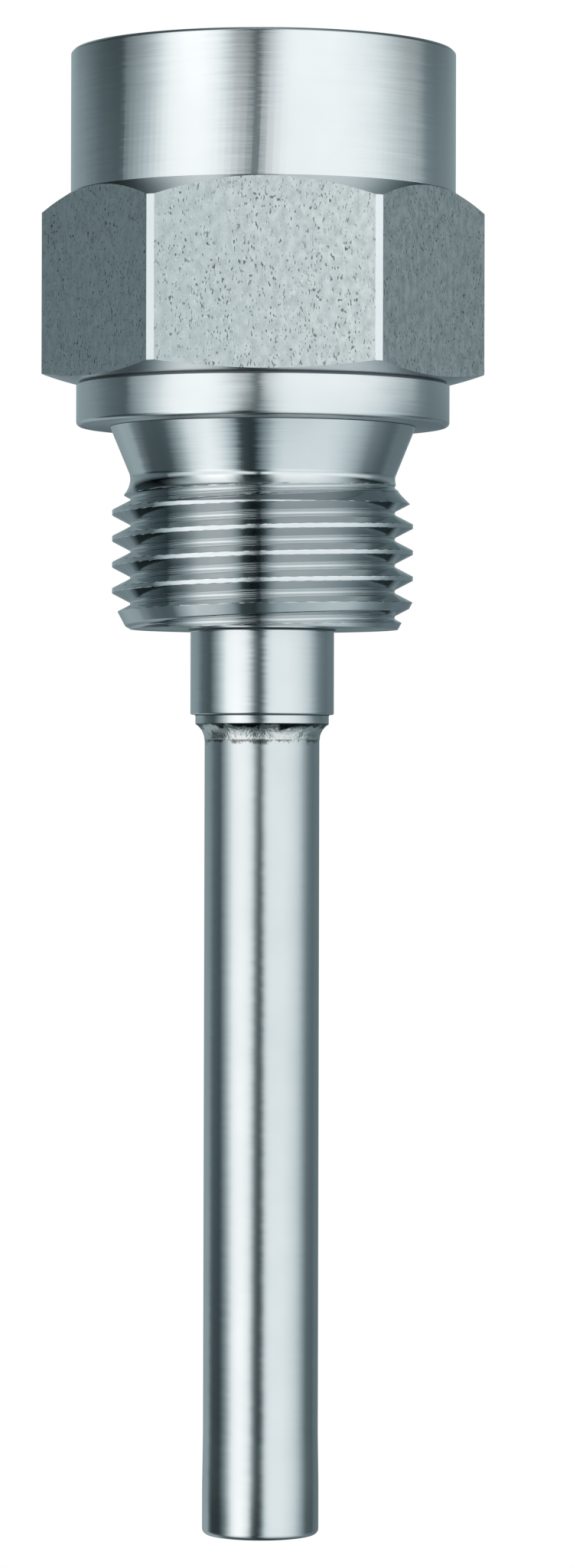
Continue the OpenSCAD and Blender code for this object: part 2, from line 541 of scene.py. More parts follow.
@dataclass(frozen=True)
class GroundTubeSteel(TurnedSteel):
    """Drawn stainless tube, ground between centres, darkened just under the weld by its heat tint
    and by painted shade under the bead's edge.

    The grinding marks lie more evenly than turned rings, so the light's stripes are straighter.
    """

    name: str = "ground_tube_steel"
    colour: str = "#D9DBDC"
    shade: str = "#CDD1D3"
    anisotropic: float = 0.7
    # Grinding marks are some hundredths of a millimetre apart, so they too are drawn wider
    ring_mm: float = 0.5
    ring_length_mm: float = 3.0
    ring_bump: float = 0.05
    lean: float = 0.04
    # scale is the weld's heat tint together with painted shade under the bead's edge
    scale: StainAndShade = StainAndShade("#4E5454", top=WELD_FOOT + 0.12, foot=WELD_FOOT - 0.22,
                         fade_low=0.08, cover=0.85,
                         edge=Pattern(1.1, 1.1, detail=5.0, roughness=0.7, start=0.42, end=0.62))

    def metal_colour(self, tree: Tree, place: Socket) -> Socket:
        """Darkens the metal in ragged patches just under the weld, as heat tint and as painted
        shade under the bead's edge.

        Args:
            tree: The material's node tree.
            place: The point on the piece.

        Returns:
            The colour.
        """
        return self.scale.over(tree, place, super().metal_colour(tree, place))


@dataclass(frozen=True)
class DrawnBarSteel:
    """The flats of cold drawn hexagon bar, as the die and the pickling bath leave them.

    An even, satin grey that scatters light widely and darkens at a slant, faintly clouded by the
    bath and painted lighter towards +X as painted light. It has fine pits drawn out along the bar,
    in loose clusters, whose dark colour is partly their own and partly painted shade, and white
    specks beside them that are painted glints.
    """

    name: str = "drawn_hexagon_bar_steel"
    colour: str = "#E6EEEF"
    # Painted light: the flats grow lighter towards +X up to this colour, as if lit from that side
    painted_light_side: str = "#F6F9F8"
    painted_light_mm: float = 7.0
    cloud: str = "#D4DCDD"
    # Painted glints: white specks stand for the pits' rims catching the light
    painted_glint: str = "#FFFFFF"
    # The pits' colour is partly their own dark tone and partly painted shade inside them
    pit_and_shade: str = "#828887"
    slant: str = "#3A3F42"
    roughness: float = 0.36
    roughness_spread: float = 0.06
    # Real pits are some hundredths of a millimetre wide, so they and the painted glints are drawn
    # coarser
    pits: Pattern = Pattern(0.12, 0.24, detail=0.5, start=0.39, end=0.28)
    painted_glints: Pattern = Pattern(0.12, 0.156, detail=0.5, start=0.70, end=0.78)
    clusters: Pattern = Pattern(1.1, 1.8, start=0.3, end=0.55)
    clouds: Pattern = Pattern(0.5, 0.8, detail=4.0, start=0.35, end=0.65)
    streaks: Pattern = Pattern(0.5, 9.0, start=NOISE_LOW, end=NOISE_HIGH)
    bump: float = 0.5
    pit_depth_mm: float = 0.02

    def material(self) -> Material:
        """Builds the material.

        Returns:
            The material.
        """
        material, tree = new_material(self.name)
        place = add_node(tree, "ShaderNodeTexCoord").outputs["Object"]
        across = add_node(tree, "ShaderNodeSeparateXYZ", {}, {0: place}).outputs["X"]
        # Painted light: from -X to +X the flats are painted lighter
        side = add_node(tree, "ShaderNodeMapRange", {},
                        {"Value": across, "From Min": -self.painted_light_mm * MM,
                         "From Max": self.painted_light_mm * MM}).outputs[0]
        # The pits are darkened in colour partly as their own tone and partly as painted shade
        pits = add_node(tree, "ShaderNodeMath", {"operation": "MULTIPLY"},
                        {0: self.pits.value(tree, place),
                         1: self.clusters.value(tree, place)}).outputs[0]
        colour: Any = srgb(self.colour)
        for share, tone in ((side, self.painted_light_side), (self.clouds.value(tree, place), self.cloud),
                            (self.painted_glints.value(tree, place), self.painted_glint), (pits, self.pit_and_shade)):
            colour = add_node(tree, "ShaderNodeMix", {"data_type": "RGBA"},
                              {"Factor": share, TONE_A: colour,
                               TONE_B: srgb(tone)}).outputs[TONE_OUT]
        rough = self.streaks.value(tree, place, self.roughness * (1 - self.roughness_spread),
                                   self.roughness * (1 + self.roughness_spread))
        normal = add_node(tree, "ShaderNodeBump", {},
                          {"Strength": self.bump, "Distance": -self.pit_depth_mm * MM,
                           "Height": pits}).outputs[0]
        steel = add_node(tree, "ShaderNodeBsdfPrincipled", {},
                         {"Base Color": colour, "Metallic": 1.0, "Roughness": rough,
                          "Specular Tint": srgb(self.slant), "Normal": normal})
        add_node(tree, "ShaderNodeOutputMaterial", {}, {"Surface": steel.outputs[0]})
        return material


@dataclass(frozen=True)
class WeldMetal:
    """A small weld run with filler, brushed after welding.

    Rippled and pitted, so it sparkles in dark and light points, and darkened at its top, in the
    corner under the lip, as painted shade.
    """

    name: str = "weld_metal"
    colour: str = "#E6E9E8"
    tint: str = "#BDBDBA"
    roughness: float = 0.25
    # The ripples are as far apart as real ones, and the grain is drawn coarser than it is
    ripples: Pattern = Pattern(0.3, 0.3, detail=4.0, roughness=0.7)
    grain_mm: float = 0.1875
    bump: float = 0.5
    bump_mm: float = 0.03
    # Painted shade: the top of the bead, in the corner under the lip, is darkened down to a ragged
    # edge
    shade_under_lip: StainAndShade = StainAndShade("#23282A", top=WELD_TOP - 0.04, foot=WELD_TOP - 0.5,
                        fade_low=0.03,
                        edge=Pattern(1.5, 1.5, detail=5.0, roughness=0.65, start=0.42, end=0.64))

    def material(self) -> Material:
        """Builds the material.

        Returns:
            The material.
        """
        material, tree = new_material(self.name)
        place = add_node(tree, "ShaderNodeTexCoord").outputs["Object"]
        ripples = self.ripples.value(tree, place)
        grain = add_node(tree, "ShaderNodeTexVoronoi", {},
                         {"Vector": place, "Scale": 1 / (self.grain_mm * MM)}).outputs["Distance"]
        height = add_node(tree, "ShaderNodeMath", {"operation": "ADD"},
                          {0: ripples, 1: grain}).outputs[0]
        metal = add_node(tree, "ShaderNodeMix", {"data_type": "RGBA"},
                         {"Factor": ripples, TONE_A: srgb(self.colour),
                          TONE_B: srgb(self.tint)}).outputs[TONE_OUT]
        normal = add_node(tree, "ShaderNodeBump", {},
                          {"Strength": self.bump, "Distance": self.bump_mm * MM,
                           "Height": height}).outputs[0]
        steel = add_node(tree, "ShaderNodeBsdfPrincipled", {},
                         {"Base Color": self.shade_under_lip.over(tree, place, metal), "Metallic": 1.0,
                          "Roughness": self.roughness, "Normal": normal})
        add_node(tree, "ShaderNodeOutputMaterial", {}, {"Surface": steel.outputs[0]})
        return material


# ---------- the screw thread ----------


@dataclass(frozen=True)
class PipeThread:
    """A right-handed 55 degree pipe thread, in millimetres.

    The crests are flat, as turned before the thread was cut, and the tool's nose rounds the roots.
    """

    diameter: float = 20.955
    pitch: float = 25.4 / 14
    flank: float = math.radians(27.5)
    depth_share: float = 0.640327
    root_nose: float = 0.16
    crest_height: float = -3.565
    crest_angle: float = math.radians(305)

    def radius(self, angle: float, height: float) -> float:
        """Gives the thread form's radius at a place on its helix.

        Args:
            angle: Angle round the axis from +X, in radians.
            height: Height along the axis.

        Returns:
            The form's radius, crest to root.
        """
        turns = (height - self.crest_height) / self.pitch - (angle - self.crest_angle) / math.tau
        from_root = self.pitch / 2 - abs(turns - round(turns)) * self.pitch
        crest = self.diameter / 2
        middle = crest - self.depth_share * self.pitch / 2
        sharp_root = middle - self.pitch / 4 / math.tan(self.flank)
        if from_root < self.root_nose * math.cos(self.flank):
            centre = sharp_root + self.root_nose / math.sin(self.flank)
            return centre - math.sqrt(self.root_nose ** 2 - from_root ** 2)
        return min(crest, sharp_root + from_root / math.tan(self.flank))


class Zone(Enum):
    """The areas of the turned body with their own finish or painted shade; the value is the
    material's place.
    """

    TURNED = 0
    THREAD = 1
    UNDERCUT = 2
    FLAT = 3
    CORNER = 4
    BORE = 5
    FLANK = 6
    SEAM = 7


# ---------- the pieces ----------


@dataclass
class TurnedBody:
    """Collar, hexagon, sealing ring, undercut, thread, boss and lip, with the socket inside."""

    collar_d: float = 26.8
    collar_rim: float = 0.2
    head_top: float = HEAD_TOP
    edge: float = 0.1
    fine_edge: float = 0.05
    hex_af: float = 27.0
    hex_corner_flat: float = 0.6
    hex_low: float = 3.0
    hex_top: float = 16.18
    hex_upper_slope: float = math.radians(33.5)
    hex_lower_slope: float = math.radians(15.5)
    # The hexagon is cut from a longer bar, and its bore and its laps lie hidden in the body
    hex_bar: float = 24.0
    hex_bore_d: float = 23.0
    hex_lap: float = 0.2
    # A narrow relief parts the hexagon from the ring
    ring_d: float = 26.0
    ring_edge: float = 0.3
    ring_top: float = 2.86
    ring_relief: float = 0.15
    undercut_wide_d: float = 21.3
    neck_d: float = 18.46
    neck_height: float = -3.5
    neck_rounding: float = 0.64
    neck_straight: float = 0.13
    run_out_fillet: float = 1.7
    run_out_slope: float = math.radians(45)
    thread_end: float = -14.1
    lead_in_d: float = 18.9
    lead_in_slope: float = math.radians(28)
    boss_d: float = 10.0
    boss_fillet: float = 0.25
    boss_end: float = -20.05
    boss_edge: float = 0.12
    lip_d: float = LIP_D
    lip_fillet: float = 0.12
    lip_end: float = LIP_END
    seat_d: float = TUBE_D + 2 * FIT
    seat_top: float = TUBE_TOP
    bore_d: float = BORE_D
    mouth_d: float = 21.4
    socket_d: float = 18.631
    socket_depth: float = 14.0
    socket_floor_angle: float = math.radians(118)
    # The share of a turn above the floor at which the internal thread sets in
    socket_run_in: float = 0.3
    # Rows of points in each stretch that the threads are cut into
    run_out_rows: int = 28
    thread_rows: int = 216
    lead_in_rows: int = 56
    socket_rows: int = 84
    mouth_rows: int = 10
    # How much of a fillet is darkened as painted shade
    painted_shade_share: float = 0.7
    thread: PipeThread = PipeThread()

    @property
    def socket_top(self) -> float:
        """The height where the threaded wall ends, below the mouth's 45 degree chamfer."""
        return self.head_top - (self.mouth_d - self.socket_d) / 2

    @property
    def socket_floor(self) -> float:
        """The height where the threaded wall starts, above the drill point."""
        return self.socket_top - self.socket_depth

    def outline(self) -> list[Corner]:
        """Lists the corners of everything turned, from the rim down and back up the bores.

        Returns:
            The closed outline's corners.
        """
        collar, ring, top = self.collar_d / 2, self.ring_d / 2, self.head_top
        middle, relief = (self.hex_low + self.hex_top) / 2, ring - self.ring_relief
        crest, lead, neck = self.thread.diameter / 2, self.lead_in_d / 2, self.neck_d / 2
        # A fillet takes up the tangent of half its corner's turn on each side
        fillet_reach = self.run_out_fillet * math.tan(self.run_out_slope / 2)
        run_out_corner = self.neck_height - self.neck_straight - fillet_reach
        run_out = run_out_corner - (crest - neck) / math.tan(self.run_out_slope)
        lead_top = self.thread_end + (crest - lead) / math.tan(self.lead_in_slope)
        lip, boss, seat, bore = self.lip_d / 2, self.boss_d / 2, self.seat_d / 2, self.bore_d / 2
        socket, mouth = self.socket_d / 2, self.mouth_d / 2
        bore_top = self.socket_floor - (socket - bore) / math.tan(self.socket_floor_angle / 2)
        return [
            Corner(collar - self.collar_rim, top, self.edge),
            Corner(collar, top - self.collar_rim, self.edge), Corner(collar, middle),
            Corner(relief, middle), Corner(relief, self.ring_top),
            Corner(ring, self.ring_top, self.fine_edge), Corner(ring, 0, self.ring_edge),
            Corner(self.undercut_wide_d / 2, 0, self.edge),
            Corner(neck, self.neck_height, self.neck_rounding, arc_steps=6),
            Corner(neck, run_out_corner, self.run_out_fillet, self.run_out_rows, arc_steps=34),
            Corner(crest, run_out, cuts=self.thread_rows),
            Corner(crest, lead_top, cuts=self.lead_in_rows),
            Corner(lead, self.thread_end),
            Corner(boss, self.thread_end, self.boss_fillet, arc_steps=8),
            Corner(boss, self.boss_end, self.boss_edge),
            Corner(lip, self.boss_end, self.lip_fillet, arc_steps=5),
            Corner(lip, self.lip_end, self.fine_edge), Corner(seat, self.lip_end),
            Corner(seat, self.seat_top), Corner(bore, self.seat_top), Corner(bore, bore_top),
            Corner(socket, self.socket_floor, cuts=self.socket_rows),
            Corner(socket, self.socket_top, cuts=self.mouth_rows),
            Corner(mouth, top, self.edge)]

    def cut_threads(self, body: Piece) -> None:
        """Moves the rows of the male thread and of the socket on to the thread's form.

        No edit-mode operator cuts a helix with chamfered ends, so the points are moved in code.

        Args:
            body: The turned body.
        """
        crest = self.thread.diameter / 2
        male_top, male_inner = self.neck_height + self.neck_rounding, self.neck_d / 2 - NEAR
        for vertex in body.data.vertices:
            x, y, z = (c / MM for c in vertex.co)
            reach = math.hypot(x, y)
            form = self.thread.radius(math.atan2(y, x), z)
            if self.thread_end - NEAR <= z < male_top and male_inner < reach <= crest + NEAR:
                share = min(reach, form) / reach
            elif z > self.socket_floor + NEAR and reach < crest:
                turns = (z - self.socket_floor) / self.thread.pitch - self.socket_run_in
                depth = max(0.0, min(1.0, turns))
                share = max(reach, reach + (form - reach) * depth) / reach
            else:
                continue
            vertex.co.x *= share
            vertex.co.y *= share

    def hexagon(self) -> Piece:
        """Models the hexagon: a bar with bevelled corners, chamfered by a turned envelope.

        Returns:
            A closed ring with the hexagon outside.
        """
        corner = self.hex_af / 2 / math.cos(math.radians(30))
        deselect()
        bpy.ops.mesh.primitive_cylinder_add(
            vertices=6, radius=corner * MM, depth=self.hex_bar * MM,
            rotation=(0, 0, math.radians(30)),
            location=(0, 0, (self.hex_low + self.hex_top) / 2 * MM))
        bar = bpy.context.active_object
        bar.name = bar.data.name = "hexagon_bar"
        settle(bar)
        bpy.ops.object.mode_set(mode="EDIT")
        select_in_edit(bar, Element.EDGE,
                       lambda e: abs(e.verts[0].co.z - e.verts[1].co.z) > MM)
        bpy.ops.mesh.bevel(offset=self.hex_corner_flat * MM, offset_type="WIDTH", segments=1,
                           affect="EDGES")
        bpy.ops.object.mode_set(mode="OBJECT")
        bore, far, lap = self.hex_bore_d / 2, corner + 1, self.hex_lap
        collar, ring = self.collar_d / 2, self.ring_d / 2
        rise, drop = math.tan(self.hex_upper_slope), math.tan(self.hex_lower_slope)
        top, low = self.hex_top + lap * rise, self.hex_low - lap * drop
        envelope = turn("hexagon_envelope", [
            Corner(bore, top), Corner(collar - lap, top),
            Corner(far, self.hex_top - (far - collar) * rise),
            Corner(far, self.hex_low + (far - ring) * drop),
            Corner(ring - lap, low), Corner(bore, low)])
        combine(envelope, bar, Joining.INTERSECT)
        return envelope

    def on_hexagon(self, centre: Vector, normal: Vector) -> Zone | None:
        """Tells which of the hexagon's own areas a face belongs to.

        Args:
            centre: The face's centre, in millimetres.
            normal: The face's normal.

        Returns:
            The area, or None where the face isn't upright on the hexagon.
        """
        half = self.hex_af / 2
        upright = self.hex_low < centre.z < self.hex_top and abs(normal.z) < NEAR
        if not upright or centre.xy.length < half - self.fine_edge:
            return None
        side = math.degrees(math.atan2(normal.y, normal.x)) % 60
        if round(side) == 30 and abs(centre.dot(normal) - half) < NEAR:
            return Zone.FLAT
        return Zone.CORNER if round(side) % 60 == 0 else None

    def in_shaded_corner(self, reach: float, height: float) -> bool:
        """Tells whether a point lies in one of the narrow corners that are darkened as painted
        shade.

        Args:
            reach: The distance from the axis.
            height: The height.

        Returns:
            Whether it does.
        """
        boss_fillet, lip_fillet, shade_part = self.boss_fillet, self.lip_fillet, self.painted_shade_share
        shaded_corners = (
            (self.ring_top, self.hex_low, self.ring_d / 2 - self.ring_relief, NEAR),
            (-self.edge, -SKIN, self.undercut_wide_d / 2, self.edge),
            (self.thread_end - shade_part * boss_fillet, self.thread_end - SKIN, self.boss_d / 2,
             boss_fillet),
            (self.boss_end - shade_part * lip_fillet, self.boss_end - SKIN, self.lip_d / 2, lip_fillet))
        return any(foot < height < top and abs(reach - middle) < width
                   for foot, top, middle, width in shaded_corners)

    def zone_of(self, face: bpy.types.MeshPolygon) -> Zone:
        """Tells which area of the body a face belongs to.

        Args:
            face: The face.

        Returns:
            The area.
        """
        centre, normal = face.center / MM, face.normal
        reach, outward = centre.xy.length, centre.xy.dot(normal.xy)
        hexagon = self.on_hexagon(centre, normal)
        if hexagon:
            return hexagon
        # Narrow corners are darkened as painted shade
        if outward > -NEAR and self.in_shaded_corner(reach, centre.z):
            return Zone.SEAM
        in_socket = centre.z > 0 and reach < self.mouth_d / 2
        in_seat = centre.z > self.boss_end and reach < self.seat_d / 2
        if outward < 0 or in_socket or in_seat:
            return Zone.BORE
        if self.thread_end < centre.z < self.neck_height and reach > self.neck_d / 2 - self.edge:
            return Zone.THREAD if reach > self.thread.diameter / 2 - NEAR else Zone.FLANK
        return Zone.UNDERCUT if self.neck_height <= centre.z < -SKIN else Zone.TURNED

    def build(self) -> Piece:
        """Builds the body and unites it with its hexagon.

        Returns:
            The closed mesh, without finishes.
        """
        body = turn("turned_body", self.outline())
        self.cut_threads(body)
        combine(body, self.hexagon(), Joining.UNION)
        return body

    def dress(self, body: Piece) -> None:
        """Gives each area its finish.

        Args:
            body: The body's mesh object.
        """
        cut = TurnedSteel(name="cut_thread_steel", roughness=0.07, anisotropic=0.2, lean=0.006,
                          ring_mm=0.15, ring_bump=0.02)
        plain = TurnedSteel(name="drawn_corner_steel", colour="#E3E7E8", shade="#DADEDF",
                            roughness=0.3, anisotropic=0.0)
        finishes = {
            Zone.TURNED: TurnedSteel(),
            Zone.THREAD: cut,
            # The flanks are a darker copy of the crests' steel, as painted shade between the crests
            Zone.FLANK: replace(cut, name="painted_shade_flank_steel", colour="#D2D6D7", shade="#C7CBCD"),
            Zone.UNDERCUT: TurnedSteel(name="fine_turned_steel", roughness=0.12, anisotropic=0.5),
            Zone.FLAT: DrawnBarSteel(),
            Zone.CORNER: plain,
            Zone.BORE: TurnedSteel(name="bored_stainless_steel", roughness=0.38, ring_mm=0.3),
            # A dark copy of the corner steel paints shade into the narrow corners
            Zone.SEAM: replace(plain, name="painted_shade_corner_steel", colour="#6A7174",
                               shade="#565D60", roughness=0.4),
        }
        body.data.materials.clear()
        for zone in Zone:
            body.data.materials.append(finishes[zone].material())
        for face in body.data.polygons:
            face.material_index = self.zone_of(face).value
        smooth(body)


@dataclass
class StemTube:
    """The drawn tube, ground outside, which swells a little at its closed end."""

    tube_d: float = TUBE_D
    bore_d: float = BORE_D
    top: float = TUBE_TOP
    tip: float = TIP
    tip_d: float = 8.1
    swell_h: float = 7.0
    swell_rounding: float = 60.0
    edge: float = 0.1
    tip_edge: float = 0.4
    recess_edge: float = 0.05
    recess_d: float = DISC_D + 2 * FIT
    recess_top: float = DISC_TOP

    def outline(self) -> list[Corner]:
        """Lists the corners of the tube's wall.

        Returns:
            The closed outline's corners.
        """
        bore, tube, tip, recess = (
            d / 2 for d in (self.bore_d, self.tube_d, self.tip_d, self.recess_d))
        return [
            Corner(bore, self.top, self.edge), Corner(tube, self.top, self.edge, cuts=6),
            Corner(tube, self.tip + self.swell_h, self.swell_rounding),
            Corner(tip, self.tip + self.swell_h / 2, self.swell_rounding),
            Corner(tip, self.tip, self.tip_edge), Corner(recess, self.tip, self.recess_edge),
            Corner(recess, self.recess_top), Corner(bore, self.recess_top)]

    def build(self) -> Piece:
        """Builds the tube's mesh."""
        return turn("drawn_tube", self.outline())

    def dress(self, tube: Piece) -> None:
        """Gives the tube its ground finish."""
        give_finish(tube, GroundTubeSteel().material())


@dataclass
class WeldBead:
    """The ring of weld metal from the lip's edge down to the tube, uneven as laid by hand."""

    lip_d: float = LIP_D
    tube_d: float = TUBE_D
    top: float = WELD_TOP
    foot: float = WELD_FOOT + 0.1
    foot_edge: float = 0.012
    rows: int = 14
    ripple: float = 0.035
    ripples_per_mm: float = 2.2
    # How fast the finer ripples fade, how much finer each kind is than the last, and how many kinds
    ripple_kinds: tuple[float, float, int] = (0.8, 2.0, 4)
    room_share: float = 0.8
    foot_wave: float = 0.25
    waves_per_mm: float = 0.9
    seed: int = 7

    def outline(self) -> list[Corner]:
        """Lists the corners of the bead: its inner wall, its face and its edge under the lip.

        Returns:
            The closed outline's corners.
        """
        reach, height = (self.lip_d - self.tube_d) / 2, self.top - self.foot
        arc = (reach ** 2 + height ** 2) / (2 * reach)
        inner = self.tube_d / 2
        corners = [Corner(inner, self.top), Corner(inner, self.foot)]
        for k in range(self.rows + 1):
            rise = height * k / self.rows
            out = arc - math.sqrt(arc ** 2 - rise ** 2) + self.foot_edge
            corners.append(Corner(inner + out, self.foot + rise))
        return corners

    def build(self) -> Piece:
        """Builds the bead and ripples its face.

        Returns:
            The closed mesh.
        """
        bead = turn("weld_bead", self.outline())
        shift = Vector((self.seed, self.seed * 3, 0))
        inner, lip, height = self.tube_d / 2, self.lip_d / 2, self.top - self.foot
        for vertex in bead.data.vertices:
            place = vertex.co / MM
            reach = place.xy.length
            if reach < inner + SKIN:
                continue
            ripple = noise.fractal(place * self.ripples_per_mm + shift, *self.ripple_kinds)
            room = self.room_share * min(reach - inner, lip - reach + NEAR)
            grown = reach + max(-room, min(ripple * self.ripple, room))
            vertex.co.x *= grown / reach
            vertex.co.y *= grown / reach
            wave = noise.noise(Vector((place.x, place.y, 0)) * self.waves_per_mm + shift)
            above = (place.z - self.foot) / height
            vertex.co.z += max(0.0, wave) * self.foot_wave * (1 - above) ** 2 * MM
        return bead

    def dress(self, bead: Piece) -> None:
        """Gives the bead its weld metal."""
        give_finish(bead, WeldMetal().material())


@dataclass
class EndDisc:
    """The disc that is welded into the tube's lower end, with a shallow centre dimple."""

    diameter: float = DISC_D
    foot: float = DISC_FOOT
    top: float = DISC_TOP
    dimple_d: float = 3.0
    dimple: float = 0.15

    def build(self) -> Piece:
        """Builds the disc: a cylinder whose lower face is inset and pressed in.

        Returns:
            The closed mesh.
        """
        deselect()
        bpy.ops.mesh.primitive_cylinder_add(
            vertices=COLUMNS, radius=self.diameter / 2 * MM, depth=(self.top - self.foot) * MM,
            location=(0, 0, (self.foot + self.top) / 2 * MM))
        disc = bpy.context.active_object
        disc.name = disc.data.name = "end_disc"
        settle(disc)
        bpy.ops.object.mode_set(mode="EDIT")
        select_in_edit(disc, Element.FACE, lambda f: f.normal.z < -0.9)
        bpy.ops.mesh.inset(thickness=(self.diameter - self.dimple_d) / 2 * MM)
        bpy.ops.mesh.inset(thickness=self.dimple * MM, depth=-self.dimple * MM)
        bpy.ops.object.mode_set(mode="OBJECT")
        return disc

    def dress(self, disc: Piece) -> None:
        """Gives the disc its turned finish."""
        give_finish(disc, TurnedSteel(name="faced_disc_steel", roughness=0.36).material())


# ---------- the studio ----------


@dataclass(frozen=True)
class TentBand:
    """The light round the tent at one elevation.

    stops gives the light for each azimuth in degrees, where 0 is the front and 90 is +X.
    """

    elevation: float
    stops: tuple[tuple[float, float], ...]


@dataclass(frozen=True)
class TentGlow:
    """The inside of a light tent: two softboxes with a dark gap between them, and slate flags."""

    name: str = "tent_glow"
    strength: float = 1.72
    # Each tint's share in the dark, what it gains up to full light, and the power of that gain
    red: tuple[float, float, float] = (0.60, 0.43, 0.55)
    blue: tuple[float, float, float] = (1.13, -0.145, 0.5)
    bands: tuple[TentBand, ...] = (
        TentBand(-74, ((-180, 0.02), (-40, 0.06), (-20, 0.02), (10, 0.02), (40, 0.08), (90, 0.03),
                       (180, 0.02))),
        TentBand(-58, (
            (-180, 0.05), (-158, 0.08), (-112, 0.05), (-91, 0.05), (-78, 0.10), (-66, 0.16),
            (-45, 0.23), (-32, 0.20), (-24, 0.05), (-8, 0.03), (2, 0.04), (8, 0.12), (16, 0.24),
            (36, 0.30), (66, 0.28), (90, 0.17), (112, 0.08), (158, 0.06), (180, 0.05))),
        TentBand(-42, (
            (-180, 0.05), (-170, 0.10), (-158, 0.26), (-140, 0.29), (-120, 0.27), (-112, 0.15),
            (-100, 0.10), (-91, 0.10), (-80, 0.32), (-69, 0.60), (-51, 0.70), (-40, 0.60),
            (-33, 0.44), (-27, 0.28), (-21, 0.04), (-8, 0.02), (-5, 0.08), (0, 0.21), (5, 0.30),
            (10, 0.44), (19, 0.53), (60, 0.54), (69, 0.52), (90, 0.40), (104, 0.26), (120, 0.17),
            (147, 0.15), (160, 0.14), (170, 0.08), (180, 0.05))),
        TentBand(-13, (
            (-180, 0.08), (-158, 0.24), (-145, 0.28), (-130, 0.26), (-124, 0.10), (-116, 0.01),
            (-88, 0.01), (-76, 0.10), (-69, 0.30), (-58, 0.74), (-48, 0.86), (-38, 0.87),
            (-28, 0.74), (-22, 0.44), (-17, 0.06), (-10, 0.01), (-3, 0.01), (2, 0.10), (6, 0.36),
            (12, 0.64), (20, 0.71), (41, 0.71), (60, 0.62), (72, 0.50), (81, 0.35), (91, 0.20),
            (102, 0.06), (124, 0.06), (134, 0.12), (158, 0.13), (180, 0.07))),
        TentBand(-1, (
            (-180, 0.14), (-172, 0.20), (-144, 0.21), (-124, 0.19), (-110, 0.12), (-93, 0.08),
            (-89, 0.12), (-80, 0.30), (-72, 0.50), (-60, 0.73), (-44, 0.74), (-30, 0.72),
            (-22, 0.68), (-17, 0.54), (-12, 0.16), (-8, 0.08), (-3, 0.08), (0, 0.14), (4, 0.34),
            (8, 0.56), (14, 0.61), (44, 0.61), (60, 0.58), (80, 0.47), (94, 0.26), (104, 0.16),
            (124, 0.12), (158, 0.12), (168, 0.16), (180, 0.14))),
        TentBand(8, (
            (-180, 0.20), (-168, 0.24), (-137, 0.21), (-124, 0.16), (-113, 0.12), (-92, 0.09),
            (-90.5, 0.26), (-79, 0.42), (-65, 0.64), (-57, 0.70), (-22, 0.71), (-16, 0.74),
            (-12, 0.74), (-8, 0.58), (-5, 0.18), (-3, 0.09), (-1, 0.64), (3, 0.84), (10, 0.76),
            (28, 0.74), (59, 0.78), (72, 0.76), (87, 0.64), (103, 0.48), (113, 0.22), (124, 0.17),
            (157, 0.20), (168, 0.22), (180, 0.20))),
        TentBand(17, (
            (-180, 0.08), (-168, 0.20), (-156, 0.18), (-148, 0.03), (-114, 0.0), (-88, 0.0),
            (-76, 0.08), (-69, 0.28), (-58, 0.78), (-48, 0.94), (-38, 0.96), (-28, 0.80),
            (-22, 0.46), (-17, 0.06), (-10, 0.01), (-3, 0.01), (2, 0.09), (6, 0.36), (12, 0.70),
            (20, 0.78), (41, 0.78), (60, 0.64), (72, 0.48), (81, 0.28), (91, 0.08), (98, 0.01),
            (144, 0.02), (152, 0.10), (165, 0.14), (180, 0.08))),
        TentBand(58, (
            (-180, 0.18), (-165, 0.15), (-150, 0.07), (-125, 0.03), (-108, 0.02), (-97, 0.12),
            (-89, 0.32), (-80, 0.50), (-72, 0.60), (-50, 0.66), (-36, 0.62), (-29, 0.35),
            (-24, 0.04), (8, 0.04), (12, 0.30), (18, 0.56), (60, 0.62), (89, 0.50), (100, 0.30),
            (112, 0.15), (125, 0.05), (150, 0.08), (165, 0.15), (180, 0.18))))

    def tinted(self, level: float) -> tuple[float, float, float, float]:
        """Gives the light its colour: slate in the dark flags, nearly white in the softboxes.

        Args:
            level: How light it is, from 0 to 1.

        Returns:
            The linear colour.
        """
        red, blue = (dark + gain * level ** power for dark, gain, power in (self.red, self.blue))
        return (level * red, level, level * blue, 1.0)

    def band_light(self, tree: Tree, azimuth: Socket, band: TentBand) -> Socket:
        """Lays one band's light round the tent.

        Args:
            tree: The material's node tree.
            azimuth: The azimuth as a share of a turn, with the front at a half.
            band: The band.

        Returns:
            The band's colour.
        """
        node = add_node(tree, "ShaderNodeValToRGB", {}, {"Fac": azimuth})
        elements = node.color_ramp.elements
        while len(elements) < len(band.stops):
            elements.new(0.5)
        for element, (angle, level) in zip(elements, band.stops):
            element.position = angle / 360 + 0.5
            element.color = self.tinted(level)
        return node.outputs["Color"]

    def material(self) -> Material:
        """Builds the material.

        Returns:
            The material.
        """
        material, tree = new_material(self.name)
        place = add_node(tree, "ShaderNodeTexCoord").outputs["Object"]
